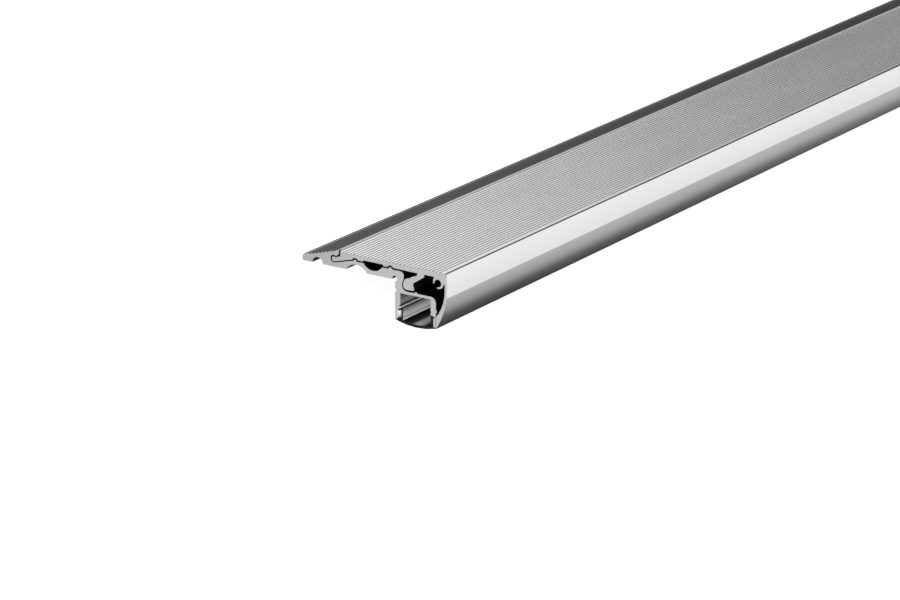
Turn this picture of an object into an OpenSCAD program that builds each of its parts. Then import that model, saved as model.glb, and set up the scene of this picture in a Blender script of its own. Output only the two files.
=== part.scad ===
// Stair nosing profile for an LED strip, one length of stock in three interlocking extrusions.
// Each section is drawn as installed: x forward with the nose face at 0, y up with the tread at 0.
// The last step turns the section so the length rests unheld on a level floor.

/* [Stock] */
// Length of the piece of stock, mm
stock_len = 1000; // [100:10:3000]

/* [Tread] */
// Depth of the cover from its back edge to the nose face, mm
tread_depth = 48.5; // [44:0.5:80]
// Thickness of the tread plate over its ribs, mm
plate_t = 2.1; // [2:0.05:3]
// Spacing of the ribs, mm
rib_pitch = 1.63; // [1.2:0.01:3]
// Width of each groove between two ribs, mm
groove_w = 0.7; // [0.4:0.05:1]
// Depth of each groove, mm
groove_d = 0.35; // [0.1:0.05:0.7]
// Flat band left between the ribs and the nose, mm
band_w = 2.7; // [1.5:0.1:6]

/* [Nose] */
// Height of the flat part of the nose, mm
nose_flat = 9.7; // [6:0.1:12]
// Height of the nose from the tread to its tip, mm
nose_drop = 22.5; // [20:0.1:26]
// Radius of the curved part of the nose, mm
nose_r = 34.5; // [28:0.5:45]
// Wall of the nose, mm
nose_t = 0.95; // [0.9:0.05:1.5]
// Radius of the screw port, mm
port_r = 1.5; // [1.3:0.05:1.6]

/* [LED box] */
// Clear width between the walls of the LED box, mm
channel_w = 13.7; // [11:0.1:16]
// Wall of the LED box at the front and back, mm
wall_t = 2.4; // [2:0.1:3]
// Roof of the LED box, mm
roof_t = 1.1; // [0.8:0.05:1.5]
// Wall of the clipped diffuser, mm
diffuser_t = 0.8; // [0.6:0.05:1.2]
// How far the bottom of the diffuser bows out, mm
bow = 1.25; // [0.6:0.05:2.5]

/* [Back] */
// Horizontal run of the ramp behind the tread, mm
ramp_run = 17.75; // [16:0.05:30]
// Height of the bed from the feet to the tread, mm
bed_h = 6.4; // [6.2:0.1:8]
// Radius of the rounded toe that hooks under the lip, mm
toe_r = 1; // [0.8:0.05:1.1]

/* [Fit] */
// Play between the cover and the carrier, mm
fit = 0.6; // [0.2:0.05:0.6]
// Play around the diffuser where it clips in, mm
clip_fit = 0.15; // [0.05:0.05:0.25]

/* [Hidden] */
arc = 96;

x_back = -tread_depth - fit;
x_heel = -tread_depth - ramp_run;
z_seat = -plate_t - fit;
z_foot = -bed_h;
z_tip = -nose_drop;

x_blade = -5;
x_front = -4.9;
x_in_front = x_front - wall_t;
x_in_back = x_in_front - channel_w;
x_riser = x_in_back - wall_t;
z_roof = -10.2;
z_clip = z_tip + 5.3;
z_wall = z_tip + 0.05;
leg_x = x_in_back + 0.4;

hook_x = x_in_back + 3.5;
hook_z = z_roof + 2.55 + 0.1;
hook_r = 2.1;
hook_play = fit - 0.15;

toe_x = x_back - 2.35;
toe_z = z_seat - 0.65;
bead_r = 0.85;
bead_z = z_seat - 0.05;
bead_back = x_back + 7.45;
bead_front = x_riser - 2.1;
gutter_x = (bead_back + bead_front) / 2 + 0.15;
gutter_r = 5.1;
gutter_z = z_foot + 1.55 + gutter_r;

port_x = -4;
port_z = -plate_t - 2.3;

nose_a = 9.2;
nose_cx = -nose_r * cos(nose_a);
nose_cz = -nose_flat + nose_r * sin(nose_a);
inner_r = 17;
inner_z = -nose_flat + 2.7;

bow_x = (x_blade + x_riser) / 2 + 0.5;
bow_half = x_blade - bow_x;
bow_r = (bow_half * bow_half + bow * bow) / (2 * bow);
bow_z = z_tip + 0.1 - bow + bow_r;

// Rest pose: the line from the heel to the lowest reach of the LED box becomes level.
reach_x = [x_riser, for (k = [0:24]) x_riser + 0.6 + k * bow_half / 24];
reach_z = [z_wall, for (k = [0:24]) bow_z - sqrt(bow_r * bow_r
    - pow(x_riser + 0.6 + k * bow_half / 24 - bow_x, 2))];
heel_x = x_heel + 0.4;
rest_tilt = max([for (k = [0:25]) atan2(z_foot - reach_z[k], reach_x[k] - heel_x)]);
rest_x_min = min(x_heel * cos(rest_tilt) - (z_foot + 1.7) * sin(rest_tilt),
    (x_heel + 0.2) * cos(rest_tilt) - (z_foot + 2.25) * sin(rest_tilt));
rest_x_max = nose_cx * cos(rest_tilt) - nose_cz * sin(rest_tilt) + nose_r;
rest_z_min = heel_x * sin(rest_tilt) + z_foot * cos(rest_tilt);

// Ramp: flatter behind the knee, steeper up to the lip, with a V groove at every rib pitch.
ramp_x0 = x_heel + 1.2;
ramp_z0 = z_foot + 2.85;
knee_x = x_heel + 6.1;
knee_z = z_foot + 3.85;
ramp_x1 = x_back - 0.75;
ramp_z1 = 0.45;
ramp_n = floor((ramp_x1 - ramp_x0) / rib_pitch);
function ramp_z(x) = x < knee_x
  ? ramp_z0 + (x - ramp_x0) * (knee_z - ramp_z0) / (knee_x - ramp_x0)
  : knee_z + (x - knee_x) * (ramp_z1 - knee_z) / (ramp_x1 - knee_x);
function tooth(k, side) = ramp_x0 + (k + 0.5) * rib_pitch + side;
rib_n = floor((tread_depth - band_w - groove_w) / rib_pitch) + 1;

module disc(x, z, r) {
  translate([x, z]) circle(r = r, $fn = arc);
}

module slab(x0, z0, x1, z1) {
  translate([x0, z0]) square([x1 - x0, z1 - z0]);
}

// Closed outline whose points are listed clockwise.
module outline(pts) {
  polygon([for (k = [len(pts) - 1:-1:0]) pts[k]]);
}

module stock() {
  translate([-(rest_x_min + rest_x_max) / 2, stock_len / 2, -rest_z_min])
    rotate([90, 0, 0])
      linear_extrude(height = stock_len)
        rotate(rest_tilt)
          children();
}

// Rounded foot of the cover's hook, or with play the room around it.
module hook_foot(play) {
  hull() {
    disc(hook_x + 0.05, hook_z + 0.65, hook_r - 0.1 + play);
    disc(hook_x - 0.5, hook_z - 0.25 - play / 2.25, hook_r - 0.35 + play);
  }
}

module ramp_and_bed() {
  outline([
    [heel_x, z_foot],
    [x_heel, z_foot + 0.4],
    [x_heel, z_foot + 1.7],
    [x_heel + 0.2, z_foot + 2.25],
    [x_heel + 0.65, z_foot + 2.68],
    [ramp_x0, ramp_z0],
    for (k = [0:ramp_n - 1]) each [
      [tooth(k, -0.6), ramp_z(tooth(k, -0.6))],
      [tooth(k, 0), ramp_z(tooth(k, 0)) - 0.5],
      [tooth(k, 0.6), ramp_z(tooth(k, 0.6))]
    ],
    [ramp_x1, ramp_z1],
    [x_back - 0.15, ramp_z1],
    [x_back, ramp_z1 - 0.15],
    [x_back, z_seat + 1.65],
    [toe_x + 0.7, z_seat + 0.35],
    [toe_x, toe_z],
    [toe_x, toe_z - toe_r - fit + 0.15],
    [bead_back - 1.2, z_seat + 0.15],
    [x_riser + 3, z_seat],
    [x_riser + 3, z_foot],
  ]);
}

module base_section() {
  difference() {
    union() {
      difference() {
        ramp_and_bed();
        disc(toe_x - 0.07, toe_z + 0.07, toe_r + fit - 0.1);
        disc(gutter_x, gutter_z, gutter_r);
      }
      disc(bead_back, bead_z, bead_r);
      disc(bead_front, bead_z, bead_r);
      // shoulder, rear wall and seat of the hook
      difference() {
        union() {
          slab(x_riser, z_wall, x_in_back, z_roof);
          slab(x_riser, z_roof - roof_t, hook_x - 0.5, z_foot);
          slab(x_riser + 0.95, z_foot - 1, hook_x - hook_r + 0.2, z_seat - 1.4);
          slab(x_riser + 0.95, z_seat - 1.4, hook_x - hook_r + 0.2 - 1.4, z_seat);
          disc(hook_x - hook_r + 0.2 - 1.4, z_seat - 1.4, 1.4);
        }
        hook_foot(hook_play);
        slab(hook_x - hook_r + 0.2, hook_z, hook_x + 4, z_seat + 1);
      }
      // roof and front wall
      slab(x_in_back - 0.1, z_roof - roof_t, x_front - 2.3, z_roof);
      disc(x_front - 2.3, z_roof - 2.3, 2.3);
      slab(x_in_front, z_clip - 0.3, x_front, z_roof - 2.3);
      disc(hook_x + 3.6, z_roof, 0.6);
      disc(x_front, z_clip + 1.5, 0.5);
      // blade that the nose leans on
      polygon([
        [x_in_front, z_clip],
        [x_in_front + 0.35, z_clip - 0.35],
        [x_blade - 0.8, z_clip - 0.55],
        [x_blade - 0.6, z_clip - 0.85],
        [x_blade - 0.6, z_clip - 1.35],
        [x_blade - 1.05, z_clip - 1.55],
        [x_blade - 1.05, z_tip + 0.75],
        [x_blade - 0.75, z_tip + 0.4],
        [x_blade - 0.4, z_tip + 0.4],
        [x_blade - 0.1, z_tip + 0.75],
        [x_blade - 0.1, z_clip - 0.4],
        [x_front, z_clip],
      ]);
    }
    // underside: grooves between the feet, relief at the stair edge
    disc(x_heel + 7.2, z_foot, 2.4);
    disc(gutter_x - 7.6, z_foot - 3.15, 5.75);
    polygon([
      [x_riser - 1.3, z_foot - 0.01],
      [x_riser - 0.8, z_foot + 1.4],
      [x_riser + 0.4, z_foot + 1.4],
      [x_riser + 0.95, z_foot + 0.9],
      [x_riser + 0.95, z_foot - 0.6],
      [x_riser - 0.01, z_foot - 0.9],
      [x_riser - 1.3, z_foot - 0.9],
    ]);
    // grip notch in the riser face
    polygon([
      [x_riser - 0.1, z_roof + 0.7],
      [x_riser + 0.5, z_roof],
      [x_riser + 0.5, z_roof - 0.6],
      [x_riser - 0.1, z_roof - 1.4],
    ]);
    // inside of the LED box: corner below the roof, slots, shelf, clip room
    slab(x_in_back, z_clip + 1.2, x_in_front, z_roof - roof_t);
    slab(x_in_back - 0.45, z_clip + 0.75, x_in_front + 0.3, z_clip + 1.2);
    polygon([
      [x_in_back + 0.1, z_clip + 0.8],
      [x_in_back + 0.1, z_clip + 0.1],
      [x_in_back - 0.8, z_clip - 0.35],
      [x_in_back - 1.35, z_clip - 0.75],
      [x_in_back - 1.35, z_tip + 1.35],
      [x_riser, z_wall],
      [x_in_front, z_wall],
      [x_in_front, z_clip + 0.8],
    ]);
  }
}

module tread_section() {
  difference() {
    union() {
      // plate with the toe at its back edge
      outline([
        [-tread_depth, 0],
        [0, 0],
        [0, -plate_t],
        [bead_back - 1.2, -plate_t],
        [toe_x, toe_z - toe_r],
        [toe_x + 0.6, toe_z + toe_r - 0.35],
        [-tread_depth, z_seat + 0.95],
      ]);
      disc(toe_x, toe_z, toe_r);
      // bent leg with its rounded hook foot
      polygon([
        [hook_x + 4.2, -plate_t + 0.1],
        [hook_x + 4.1, -plate_t - 1],
        [hook_x + 1.7, -plate_t - 1.95],
        [hook_x - 0.8, hook_z + 1.95],
        [hook_x - 0.5, hook_z - 0.25],
        [hook_x - 0.5, hook_z - hook_r + 0.1],
        [hook_x + 2.5, hook_z - hook_r + 0.25],
        [hook_x + 2.75, hook_z - hook_r + 0.55],
        [hook_x + 2.75, hook_z - 0.75],
        [hook_x + 2.4, hook_z],
        [hook_x + 2.35, hook_z + 0.7],
        [hook_x + 2.7, hook_z + 1.35],
        [hook_x + 7.3, -plate_t - 1.05],
        [hook_x + 7.3, -plate_t + 0.1],
      ]);
      hook_foot(0);
      // nose skin and the wedge at its lower end
      difference() {
        intersection() {
          slab(x_blade + 0.05, z_tip, 0, 0);
          union() {
            slab(x_blade, -nose_flat, 0, 0);
            disc(nose_cx, nose_cz, nose_r);
          }
        }
        slab(x_blade - 1, inner_z, -nose_t, port_z);
        intersection() {
          disc(-nose_t - inner_r, inner_z, inner_r);
          slab(x_blade - 1, z_tip, 0, inner_z + 0.1);
        }
      }
      // walls of the screw port
      intersection() {
        union() {
          polygon([
            [port_x - port_r - 0.25, -plate_t + 0.1],
            [port_x - port_r - 0.6, -plate_t - 1.2],
            [port_x - port_r - 0.6, port_z - 0.5],
            [port_x, port_z - 0.5],
            [port_x, -plate_t + 0.1],
          ]);
          slab(port_x, port_z, -0.1, -plate_t + 0.1);
          disc(port_x + 0.3, port_z + 0.1, port_r + 0.7);
        }
        slab(port_x - port_r - 0.6, z_roof, -0.1, 0);
      }
    }
    disc(port_x, port_z, port_r);
    // mouth of the screw port
    polygon([
      [port_x, port_z],
      [port_x - 4 * cos(8), port_z - 4 * sin(8)],
      [port_x - 4, port_z - 4],
      [port_x - 1.3, port_z - 3.2],
      [port_x - 0.2, port_z - 1.35],
    ]);
    // grooves between the ribs, and the line along the nose
    for (k = [0:rib_n - 1])
      slab(-band_w - groove_w - k * rib_pitch, -groove_d, -band_w - k * rib_pitch, 0.1);
    slab(-0.6, -0.4, -0.15, 0.1);
    // room over the beads and over the gutter
    disc(bead_back, bead_z, bead_r + fit);
    disc(bead_front, bead_z, bead_r + fit);
    slab(gutter_x - 4.5, -plate_t - 0.1, gutter_x + 4.5, -plate_t + 0.55);
  }
}

module diffuser_section() {
  c = clip_fit;
  // bowed bottom
  difference() {
    intersection() {
      disc(bow_x, bow_z, bow_r);
      outline([
        [x_riser + 0.6, z_tip - 3],
        [x_riser + 0.6, z_tip + 0.55],
        [x_in_back - 1.35 + c, z_tip + 1.15],
        [x_in_back - 0.4, z_tip + 1.6],
        [leg_x, z_tip + 1.9],
        [x_in_front + 0.9, z_tip + 1.4],
        [x_blade - 1.05 - c, z_tip + 1.2],
        [x_blade - 1.05 - c, z_tip + 0.4 - c],
        [x_blade - 0.1, z_tip + 0.4 - c],
        [x_blade - 0.1, z_tip - 3],
      ]);
    }
    intersection() {
      disc(bow_x, bow_z, bow_r - 1.15);
      slab(leg_x + diffuser_t, z_tip - 3, x_in_front, z_tip + 2);
    }
  }
  // back leg with its barb under the shelf
  polygon([
    [leg_x + diffuser_t, z_tip + 0.3],
    [leg_x + diffuser_t, z_clip + 0.1],
    [leg_x, z_clip + 0.05 - c],
    [x_in_back - 0.75, z_clip - 0.42 - c],
    [x_in_back - 1.3 + c, z_clip - 0.8 - c],
    [x_in_back - 1.1 + c, z_clip - 1.15],
    [leg_x, z_clip - 0.7],
    [leg_x, z_tip + 0.3],
  ]);
  // front leg with its barb under the front wall
  outline([
    [x_in_front + 0.05, z_tip + 0.3],
    [x_in_front + 0.05, z_clip - 0.35 - c],
    [x_in_front + 0.35, z_clip - 0.4 - c],
    [x_blade - 0.85 - c, z_clip - 0.6 - c],
    [x_blade - 0.6 - c, z_clip - 0.9],
    [x_blade - 0.6 - c, z_clip - 1.3],
    [x_blade - 1.05 - c, z_clip - 1.55],
    [x_blade - 1.05 - c, z_tip + 0.3],
  ]);
}

module base_profile() {
  color([0.74, 0.74, 0.75]) stock() base_section();
}

module tread_profile() {
  color([0.78, 0.78, 0.79]) stock() tread_section();
}

module diffuser() {
  color([0.6, 0.62, 0.65]) stock() diffuser_section();
}

base_profile();
tread_profile();
diffuser();
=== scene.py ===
import math
import bpy
from mathutils import Matrix, Vector

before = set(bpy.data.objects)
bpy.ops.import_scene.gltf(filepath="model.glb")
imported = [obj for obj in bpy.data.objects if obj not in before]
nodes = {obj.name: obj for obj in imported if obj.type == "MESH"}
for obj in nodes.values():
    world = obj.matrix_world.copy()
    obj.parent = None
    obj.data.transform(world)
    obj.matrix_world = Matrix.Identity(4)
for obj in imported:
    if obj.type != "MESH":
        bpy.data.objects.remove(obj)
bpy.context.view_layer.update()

# The row's frame: the section lies TILT nose-up from its installed place, its nose-top corner at CORNER (x, z).
TILT = math.radians(20.7112)
CT, ST = math.cos(TILT), math.sin(TILT)
CORNER = (0.0280947, 0.0292748)
HALF = 0.5                                       # half the length, along y
MM = 1000                                        # millimetres in a metre


def turned(v):
    """Direction in section axes (forward, up, along) turned to the row's frame."""
    a, b, y = v
    return Vector((a * CT - b * ST, y, a * ST + b * CT))


def placed(v):
    """Point in section axes, metres from the nose-top corner at the near end, in the row's frame."""
    return turned(v) + Vector((CORNER[0], -HALF, CORNER[1]))


FORWARD, UP, ALONG = turned((1, 0, 0)), turned((0, 1, 0)), Vector((0, 1, 0))


# Materials
class Shader:
    """A principled material with its masks stated in the section: a is mm forward and b mm up from the nose-top
    corner, na and nb are the same two parts of the surface normal, y and ny lie along the length."""

    def __init__(self, name):
        self.mat = bpy.data.materials.new(name)
        self.mat.use_nodes = True
        self.tree = self.mat.node_tree
        self.bsdf = self.tree.nodes["Principled BSDF"]
        self.where = self.add("ShaderNodeTexCoord").outputs["Object"]
        normal = self.add("ShaderNodeNewGeometry").outputs["Normal"]
        self.ny, self.y = self.lengthwise(normal), self.lengthwise(self.where)
        from_corner = self.add("ShaderNodeVectorMath", operation="SUBTRACT")
        self.link(self.where, from_corner.inputs[0])
        from_corner.inputs[1].default_value = (CORNER[0], -HALF, CORNER[1])
        self.a, self.b = (self.dot(from_corner.outputs[0], axis, MM) for axis in (FORWARD, UP))
        self.na, self.nb = (self.dot(normal, axis) for axis in (FORWARD, UP))
        self.cut = self.span(self.size(self.ny), 0.7, 0.9)          # 1 on the two cut ends
        self.skin = self.rest(self.cut)                             # 1 on the extruded sides

    def add(self, kind, **values):
        n = self.tree.nodes.new(kind)
        for k, v in values.items():
            setattr(n, k, v)
        return n

    def link(self, a, b):
        self.tree.links.new(a, b)

    def plug(self, value, socket):
        if isinstance(value, bpy.types.NodeSocket):
            self.link(value, socket)
        elif isinstance(value, tuple) and len(value) == 3 and socket.type == "RGBA":
            socket.default_value = (*value, 1)
        else:
            socket.default_value = value

    def set(self, **values):
        """Values for the shader's own sockets, with _ for each space in a name."""
        for name, value in values.items():
            self.plug(value, self.bsdf.inputs[name.replace("_", " ")])

    def math(self, op, *args, clamp=False):
        n = self.add("ShaderNodeMath", operation=op, use_clamp=clamp)
        for value, socket in zip(args, n.inputs):
            self.plug(value, socket)
        return n.outputs[0]

    def fold(self, op, args):
        out = args[0]
        for a in args[1:]:
            out = self.math(op, out, a)
        return out

    def product(self, *args):
        return self.fold("MULTIPLY", args)

    def total(self, *args):
        return self.fold("ADD", args)

    def either(self, *args):
        """The largest of its arguments."""
        return self.fold("MAXIMUM", args)

    def rest(self, value):
        return self.math("SUBTRACT", 1.0, value)

    def size(self, value):
        return self.math("ABSOLUTE", value)

    def over(self, value, limit):
        return self.math("GREATER_THAN", value, limit)

    def under(self, value, limit):
        return self.math("LESS_THAN", value, limit)

    def box(self, a=(None, None), b=(None, None)):
        """1 within these limits of a and b, mm, where None leaves a side open."""
        tests = [test(value, limit) for value, limits in ((self.a, a), (self.b, b))
                 for test, limit in zip((self.over, self.under), limits) if limit is not None]
        return self.product(*tests)

    def near_end(self, depth):
        """1 within this many metres of the cut ends."""
        return self.over(self.size(self.y), HALF - depth)

    def lengthwise(self, vector):
        n = self.add("ShaderNodeSeparateXYZ")
        self.link(vector, n.inputs[0])
        return n.outputs[1]

    def dot(self, vector, axis, scale=1.0):
        n = self.add("ShaderNodeVectorMath", operation="DOT_PRODUCT")
        self.link(vector, n.inputs[0])
        n.inputs[1].default_value = tuple(scale * c for c in axis)
        return n.outputs["Value"]

    def span(self, value, lo, hi, to_lo=0.0, to_hi=1.0):
        """to_lo at lo, to_hi at hi, a straight line between them and level outside."""
        n = self.add("ShaderNodeMapRange", clamp=True)
        for v, s in zip((value, lo, hi, to_lo, to_hi), n.inputs):
            self.plug(v, s)
        return n.outputs[0]

    def mix(self, fac, a, b):
        n = self.add("ShaderNodeMix", data_type="RGBA")
        for value, i in ((fac, 0), (a, 6), (b, 7)):
            self.plug(value, n.inputs[i])
        return n.outputs[2]

    def noise(self, stretch, detail=3.0, rough=0.55):
        """Noise with this many waves in a metre along each axis."""
        m = self.add("ShaderNodeMapping")
        m.inputs["Scale"].default_value = stretch
        self.link(self.where, m.inputs["Vector"])
        n = self.add("ShaderNodeTexNoise")
        n.inputs["Scale"].default_value = 1.0
        n.inputs["Detail"].default_value = detail
        n.inputs["Roughness"].default_value = rough
        self.link(m.outputs[0], n.inputs["Vector"])
        return n.outputs["Fac"]

    def swing(self, noise, amount):
        """A noise as a signed change of about half the amount each way."""
        return self.math("MULTIPLY", self.math("SUBTRACT", noise, 0.5), amount)

    def scaled(self, colour, value):
        n = self.add("ShaderNodeVectorMath", operation="SCALE")
        self.link(colour, n.inputs[0])
        self.link(value, n.inputs["Scale"])
        return n.outputs[0]

    def bump(self, height, strength, depth):
        n = self.add("ShaderNodeBump")
        n.inputs["Strength"].default_value = strength
        n.inputs["Distance"].default_value = depth
        self.link(height, n.inputs["Height"])
        self.link(n.outputs[0], self.bsdf.inputs["Normal"])


def grey(value):
    return (value,) * 3


WHITE = grey(1.0)
ROUGH = 0.20                                     # aluminium's roughness as extruded
CUT_SHARE = 0.57                                 # the cut ends' base colour, as a share of the skin's
CUT_ROUGHER = 0.2
CUT_MATTE = 0.6
# painted shade: the ramp's reflection tinted darker
RAMP_SHADE_TINT = grey(0.84)
DARKEST = 0.99
RIM = 0.00012                                    # radius, m, of the painted shade rim on the cut ends
RIM_LIP, RIM_SEAT = 0.0001, 0.00016              # what it gains at the lip and over the bed
SEAT_DEEPER = 1.2


def joint_shade_rim(s):
    """The cut ends' painted shade: a dark rim, 0.1 to 0.2 mm wide, along the joint between the two profiles."""
    bevel = s.add("ShaderNodeBevel", samples=4)
    lip = s.box(a=(-49.7, -48), b=(-1.2, -0.1))
    seat = s.box(a=(-43.5, None), b=(-3.6, None))
    bed = s.box(a=(-53, -19.8), b=(-4.6, -0.9))
    hook = s.box(a=(-22.3, -14), b=(-11.2, -2.5))
    s.link(s.total(RIM, s.product(lip, RIM_LIP), s.product(seat, RIM_SEAT)), bevel.inputs["Radius"])
    edge = s.span(s.size(s.dot(bevel.outputs[0], ALONG)), 0.985, 0.85)
    edge = s.math("MULTIPLY", edge, s.total(1.0, s.product(seat, SEAT_DEEPER)), clamp=True)
    return s.product(edge, s.either(lip, bed, hook))


def aluminium(name, tone, painted_shade):
    """Extruded aluminium: die lines along the length, saw-marked cut ends, painted shade on the cut ends towards the
    heel and beside the joint. painted_shade(s) gives how much darker (painted shade) or lighter (painted highlight)
    and how much rougher the skin is from place to place, then where it is matte and where its reflection is tinted
    darker as painted shade, or None."""
    s = Shader(name)
    die = s.noise((1500, 2, 1500), 4.0, 0.6)
    wide = s.noise((300, 1, 300), 2.0)
    cloud = s.noise((45, 14, 45), 2.0)
    saw = s.noise((260, 4000, 5200), 3.0, 0.6)
    grain = s.noise((5200, 5200, 5200), 2.0, 0.6)
    # painted shade: the cut ends fade darker towards the heel
    heel_shade = s.span(s.a, -42.0, -54.0, 0.0, -0.13)
    on_skin = s.total(s.swing(die, 0.05), s.swing(wide, 0.04), s.swing(cloud, 0.04))
    on_cut = s.total(s.swing(saw, 0.14), s.swing(grain, 0.12), heel_shade)
    marks_and_shade = s.total(1.0, s.product(s.skin, on_skin), s.product(s.cut, on_cut))

    darker, rougher, matte, tinted = painted_shade(s)
    light = s.rest(s.total(s.product(s.skin, darker), s.product(s.cut, joint_shade_rim(s))))
    base = s.mix(s.cut, tone, tuple(CUT_SHARE * t for t in tone))
    sawn = s.product(s.cut, CUT_MATTE)
    s.set(Base_Color=s.scaled(base, s.product(marks_and_shade, light)),
          Metallic=s.rest(sawn if matte is None else s.either(matte, sawn)),
          Roughness=s.total(ROUGH, s.product(s.skin, s.swing(die, 0.05)), s.product(s.cut, CUT_ROUGHER),
                            s.swing(cloud, 0.04), s.product(s.skin, rougher)))
    # painted shade: where tinted, the reflection is tinted darker
    if tinted is not None:
        s.set(Specular_Tint=s.mix(tinted, WHITE, RAMP_SHADE_TINT))
    s.bump(s.total(s.product(s.skin, die), s.product(s.cut, saw)), 0.05, 0.00003)
    return s.mat


def tread_painted_shade(s):
    """Painted shade in the grooves between the ribs, along the line on the nose top, down the nose's front face and
    on the inner sides, a painted highlight on the rib tops, and the inner sides rougher.
    """
    ribbed = s.under(s.a, -2.6)
    # painted shade in the grooves between the ribs and a painted highlight on the rib tops
    groove = s.product(s.span(s.b, -0.05, -0.25), s.over(s.b, -0.6), ribbed)
    rib = s.product(s.span(s.b, -0.25, -0.05), ribbed, s.over(s.nb, 0.5))
    # painted shade along a thin line at the nose-top corner
    line = s.product(s.box(a=(-0.75, None), b=(-0.6, None)), s.either(s.over(s.b, -0.17), s.under(s.a, -0.1)))
    ribs = s.total(s.product(groove, 0.38), s.product(rib, -0.05), s.product(line, 0.9))

    nose = s.product(s.over(s.na, 0.3), s.over(s.a, -5.2))
    back = s.product(s.box(a=(None, -48.4), b=(None, -0.8)), s.under(s.na, -0.4))
    inside = s.either(back, s.product(s.under(s.b, -1.5), s.rest(nose)))
    hook_leg = s.box(a=(-18, -8), b=(None, -3.5))
    # painted shade on the inner sides and in the chambers, less of it on the hook's leg
    chambers = s.product(inside, s.total(0.95, s.product(hook_leg, -0.6)))

    # painted shade on the nose's front face, darker towards its bottom
    face = s.product(s.over(s.na, 0.7), s.over(s.a, -0.05), s.span(s.b, 2.0, -9.6, 0.0, 0.11))
    return s.total(s.either(ribs, chambers), face), s.product(inside, 0.1), None, None


def base_painted_shade(s):
    """Painted shade on the ramp, the lip in front of it, the arches, the closed chambers and what shows inside the
    LED box, a painted highlight along the heel, then where it is rougher, where matte, and the ramp, whose reflection
    is tinted darker as painted shade.
    """
    upward, forward = s.over(s.nb, 0.2), s.over(s.na, 0.5)
    # painted shade: the ramp darker all over; its reflection is also tinted darker
    ramp = s.product(s.under(s.a, -49.75), upward)
    # painted highlight: a lighter line along the heel edge, and a touch darker past it
    heel_line = s.product(upward, s.total(s.product(s.box(a=(-64.65, -64.0)), -0.4),
                                          s.product(s.under(s.a, -64.65), 0.04)))
    # painted shade on the lip in front of the ramp, darker still on its front face near the cut ends
    lip = s.box(a=(-49.75, -48), b=(-0.8, None))
    mouth = s.product(lip, forward, s.near_end(0.0012))
    slope = s.total(s.product(ramp, 0.90), heel_line, s.product(lip, s.span(s.nb, 0.0, 1.0, 0.4, 0.45)),
                    s.product(mouth, 0.55))

    # painted shade in the closed chambers and inside the hook
    hooked = s.product(s.over(s.a, -22.3), s.either(s.over(s.b, -10.4), s.over(s.a, -5.6)))
    lipped = s.product(s.box(a=(-53.6, -22), b=(None, -0.8)),
                       s.either(s.over(s.nb, 0.05), s.box(a=(None, -47), b=(-4.9, None))))
    inside = s.either(hooked, lipped)
    # painted shade under the arches
    arches = s.product(s.either(s.under(s.nb, -0.05), s.product(forward, s.under(s.b, -3.9))),
                       s.box(a=(None, -30), b=(-6.35, None)))

    wall = s.product(s.box(a=(-21.1, -7.2), b=(-15.98, -11)), s.under(s.size(s.ny), 0.5))
    wall_shade = s.total(0.876, s.span(s.b, -12.9, -11.7, 0.0, 0.05), s.span(s.b, -13.5, -14.95, 0.0, -0.15),
                         s.span(s.b, -15.05, -15.45, 0.0, 0.13))
    # painted shade in the slot
    slot = s.box(a=(-21.6, -20.5), b=(-16.58, -15.98))
    clip_edge = s.product(forward, s.box(a=(-21.4, -20.6), b=(-17.15, -16.58)))
    gap = s.product(s.over(s.na, 0.3), s.box(a=(None, -21.6), b=(None, -17.2)))

    shade = s.either(s.product(wall, wall_shade), s.product(inside, 0.96), s.product(arches, DARKEST))
    darker = s.math("MINIMUM", DARKEST, s.total(s.either(slope, shade), s.product(slot, 0.9)))
    rougher = s.total(s.product(ramp, -0.02), s.product(inside, 0.1))
    lip_face = s.math("SUBTRACT", s.product(lip, forward), mouth)
    return darker, rougher, s.either(clip_edge, gap, wall, lip_face), ramp


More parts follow.
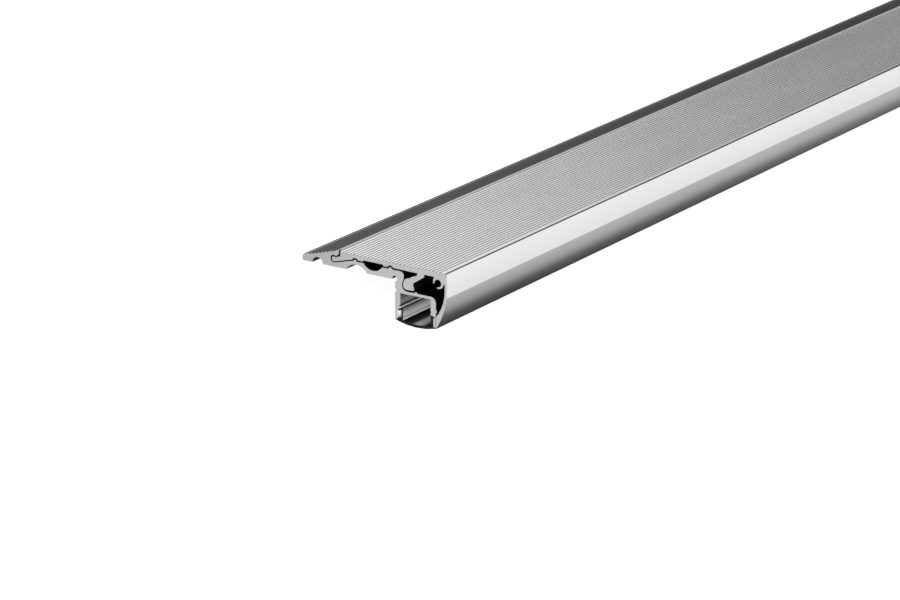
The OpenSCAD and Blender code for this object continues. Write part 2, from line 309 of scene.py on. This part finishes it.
def clear_plastic(name):
    """Extruded clear plastic, a little smoky: faint draw lines, sawn cut ends painted near black as painted shade,
    the back leg milky with painted shade towards its top and a painted highlight along its foot, the top of that leg
    and the inner floor opaque and painted dark as painted shade but for a pale band of painted light."""
    s = Shader(name)
    draw = s.noise((900, 2, 900), 3.0)
    fine = s.noise((2600, 2600, 2600), 2.0)
    leg = s.product(s.over(s.na, 0.5), s.box(a=(None, -19.3), b=(-22.2, None)))
    leg_top = s.product(s.over(s.nb, 0.3), s.box(a=(None, -19.7), b=(-18.5, None)))
    floor_in = s.product(s.over(s.nb, 0.5), s.box(a=(-19.9, None), b=(None, -21.3)))
    # painted highlight along the foot of the back leg
    foot = s.either(s.product(leg, s.under(s.b, -21.35)), s.product(floor_in, s.under(s.a, -19.82)))
    # painted light: a pale band along the inner floor
    band = s.either(s.product(s.span(s.a, -16.0, -14.4), s.span(s.a, -9.4, -12.4)),
                    s.product(s.span(s.a, -18.6, -16.0, 0.0, 0.07), s.under(s.a, -14)))
    # painted shade: the top of the back leg and the inner floor opaque and near black
    opaque = s.either(leg_top, floor_in)

    # painted shade on the milky back leg: dark at its top, lighter downwards, a little darker again towards its foot
    milk_and_shade = s.product(s.span(s.b, -17.0, -19.5), s.span(s.b, -20.4, -20.8, 1.0, 0.6))
    shaded_milk = s.mix(milk_and_shade, grey(0.07), (0.48, 0.484, 0.488))
    clear = s.mix(draw, (0.95, 0.955, 0.96), (0.98, 0.985, 0.99))
    dark = s.mix(opaque, clear, grey(0.005))
    banded = s.mix(s.product(floor_in, band), dark, (0.35, 0.354, 0.358))
    skin = s.mix(foot, s.mix(leg, banded, shaded_milk), (0.97, 0.975, 0.98))
    # painted shade: the cut ends near black
    sawn = s.mix(fine, (0.010, 0.010, 0.011), (0.018, 0.018, 0.019))
    blocked = s.either(s.total(s.product(leg, 0.8), floor_in, s.product(leg_top, 0.9)), foot)
    s.set(Base_Color=s.mix(s.cut, skin, sawn),
          Roughness=s.total(0.2, s.product(s.cut, 0.2), s.product(s.skin, s.swing(draw, 0.04))),
          Transmission_Weight=s.product(s.skin, s.rest(blocked)),
          Specular_IOR_Level=s.math("SUBTRACT", 0.5, s.total(s.product(opaque, 0.5), s.product(s.cut, 0.42))),
          IOR=1.49)
    s.bump(draw, 0.04, 0.00002)
    return s.mat


finish = {
    "base_profile": aluminium("aluminium_base", (0.913, 0.914, 0.916), base_painted_shade),
    "tread_profile": aluminium("aluminium_tread", (0.923, 0.924, 0.926), tread_painted_shade),
    "diffuser": clear_plastic("plastic_diffuser"),
}
for name, mat in finish.items():
    for slot in nodes[name].material_slots:
        slot.material = mat

# Floor: plain and pale. Reflections and what is seen through plastic leave it out, because the object in the
# photograph stands on nothing.
FLOOR_HALF = 20
me = bpy.data.meshes.new("floor")
me.from_pydata([(x * FLOOR_HALF, y * FLOOR_HALF, 0) for x, y in ((-1, -1), (1, -1), (1, 1), (-1, 1))], [],
               [(0, 1, 2, 3)])
floor = bpy.data.objects.new("floor", me)
bpy.context.scene.collection.objects.link(floor)
pale = bpy.data.materials.new("floor_pale")
pale.use_nodes = True
p = pale.node_tree.nodes["Principled BSDF"].inputs
p["Base Color"].default_value = (0.4, 0.4, 0.4, 1)
p["Emission Color"].default_value = (1, 1, 1, 1)
p["Emission Strength"].default_value = 0.93
p["Roughness"].default_value = 1.0
p["Specular IOR Level"].default_value = 0.0
me.materials.append(pale)
floor.visible_glossy = False
floor.visible_transmission = False

# Camera: the photograph's angle on the cut end, 1.42 m away through a long lens. Its axes are in section axes.
FRAME_W, FRAME_H = 900, 600                      # the photograph's frame, pixels
SENSOR = 36                                      # camera's sensor width, mm
SHARP = 3840.0                                   # focal length in pixels
PX_PER_MM = 2.7                                  # scale of the picture at the nose-top corner
CORNER_PX = (446.8, 274.1)                       # where that corner falls
RIGHT = Vector((0.82915971, 0, 0.55901178))
DOWN = Vector((0.17739616, -0.94831221, -0.26312459))
AHEAD = Vector((-0.5301177, -0.31733885, 0.78630228))
away = SHARP / PX_PER_MM / MM
off_x, off_y = ((px - side / 2) / SHARP for px, side in zip(CORNER_PX, (FRAME_W, FRAME_H)))
eye = -away * (RIGHT * off_x + DOWN * off_y + AHEAD)
data = bpy.data.cameras.new("camera")
data.sensor_width = SENSOR
data.lens = SENSOR * SHARP / FRAME_W
data.clip_start, data.clip_end = 0.05, 80
camera = bpy.data.objects.new("camera", data)
bpy.context.scene.collection.objects.link(camera)
pose = Matrix((turned(RIGHT), -turned(DOWN), -turned(AHEAD))).transposed().to_4x4()
pose.translation = placed(eye)
camera.matrix_world = pose
bpy.context.scene.camera = camera

# Soft studio light all round, falling off below the horizon, later towards the nose side and the near end
world = bpy.data.worlds.new("studio")
bpy.context.scene.world = world
world.use_nodes = True
wt = world.node_tree
sky = wt.nodes["Background"]


def wnode(kind, **values):
    n = wt.nodes.new(kind)
    for k, v in values.items():
        setattr(n, k, v)
    return n


def wmath(op, a, b, clamp=False):
    n = wnode("ShaderNodeMath", operation=op, use_clamp=clamp)
    for v, s in ((a, n.inputs[0]), (b, n.inputs[1])):
        if isinstance(v, bpy.types.NodeSocket):
            wt.links.new(v, s)
        else:
            s.default_value = v
    return n.outputs[0]


d = wnode("ShaderNodeSeparateXYZ")
wt.links.new(wnode("ShaderNodeTexCoord").outputs["Generated"], d.inputs[0])
dx, dy, dz = d.outputs                           # the direction looked in

NOSE_LIFT, NEAR_LIFT = 0.25, 0.61                # how much further down the light reaches on those sides
REAR_EDGE, REAR_STEEP = 0.25, 2.8                # the near end's part fades out round to the nose side
near = wmath("MAXIMUM", wmath("MULTIPLY", dy, -1.0), 0.0)
rear = wmath("MULTIPLY", wmath("SUBTRACT", REAR_EDGE, dx), REAR_STEEP, clamp=True)
lift = wmath("ADD", wmath("MULTIPLY", dx, NOSE_LIFT), wmath("MULTIPLY", wmath("MULTIPLY", near, rear), NEAR_LIFT))
height = wmath("ADD", dz, lift)

# Brightness of the sky at these heights
STOPS = [(-0.60, 0.01), (-0.50, 0.03), (-0.42, 0.098), (-0.36, 0.24), (-0.28, 0.405), (-0.18, 0.54),
         (-0.11, 0.68), (-0.055, 0.9), (0.08, 0.96), (0.30, 1.0)]
LOW, HIGH = -0.7, 0.3                            # heights at the two ends of the ramp node
fall = wnode("ShaderNodeValToRGB")
wt.links.new(wmath("DIVIDE", wmath("SUBTRACT", height, LOW), HIGH - LOW), fall.inputs[0])
ramp = fall.color_ramp
while len(ramp.elements) < len(STOPS):
    ramp.elements.new(0.5)
for e, (h, v) in zip(ramp.elements, STOPS):
    e.position = (h - LOW) / (HIGH - LOW)
    e.color = (v, v, v, 1)
wt.links.new(fall.outputs[0], sky.inputs["Color"])

# The sky is stronger on the heel side towards the far end, and weak close round the far end's own direction, which
# makes the tread fade with distance as in the photograph
LIGHTER, DARK_PATCH = 0.27, 0.98
PATCH_FROM, PATCH_STEEP, QUARTER_STEEP = 0.75, 10.0, 4.0
patch = wmath("MULTIPLY", wmath("SUBTRACT", dy, PATCH_FROM), PATCH_STEEP, clamp=True)
heelward = wmath("MULTIPLY", dx, -QUARTER_STEEP, clamp=True)
farward = wmath("MULTIPLY", dy, QUARTER_STEEP, clamp=True)
gain = wmath("SUBTRACT", LIGHTER, wmath("MULTIPLY", patch, DARK_PATCH))
wt.links.new(wmath("ADD", 1.0, wmath("MULTIPLY", gain, wmath("MULTIPLY", heelward, farward))), sky.inputs["Strength"])


def area_light(name, size, power):
    light = bpy.data.lights.new(name, "AREA")
    light.shape = "RECTANGLE"
    light.size, light.size_y = size
    light.energy = power
    ob = bpy.data.objects.new(name, light)
    bpy.context.scene.collection.objects.link(ob)
    return ob


def strip(name, at, width, shines, power):
    """A light lying along the whole length inside the LED box, seen only by what it shines on."""
    ob = area_light(name, (width, 2 * HALF), power)
    turn = Matrix((shines.cross(ALONG), ALONG, -shines)).transposed().to_4x4()
    turn.translation = placed((at[0], at[1], HALF))
    ob.matrix_world = turn
    ob.visible_camera = ob.visible_glossy = ob.visible_transmission = False


# Daylight that the clear diffuser lets into the LED box
strip("through_diffuser", (-0.0142, -0.0216), 0.011, UP, 0.045)
strip("under_roof", (-0.0142, -0.0115), 0.011, -UP, 0.0275)
strip("behind_leg", (-0.0208, -0.0196), 0.0018, -FORWARD, 0.0085)

overhead = area_light("overhead", (3.2, 3.2), 16)
overhead.location = (-0.4, 0.0, 2.4)
overhead.rotation_euler = (Vector((0, 0, 0)) - overhead.location).to_track_quat("-Z", "Y").to_euler()
overhead.visible_glossy = False

bpy.context.scene.view_settings.view_transform = "Standard"
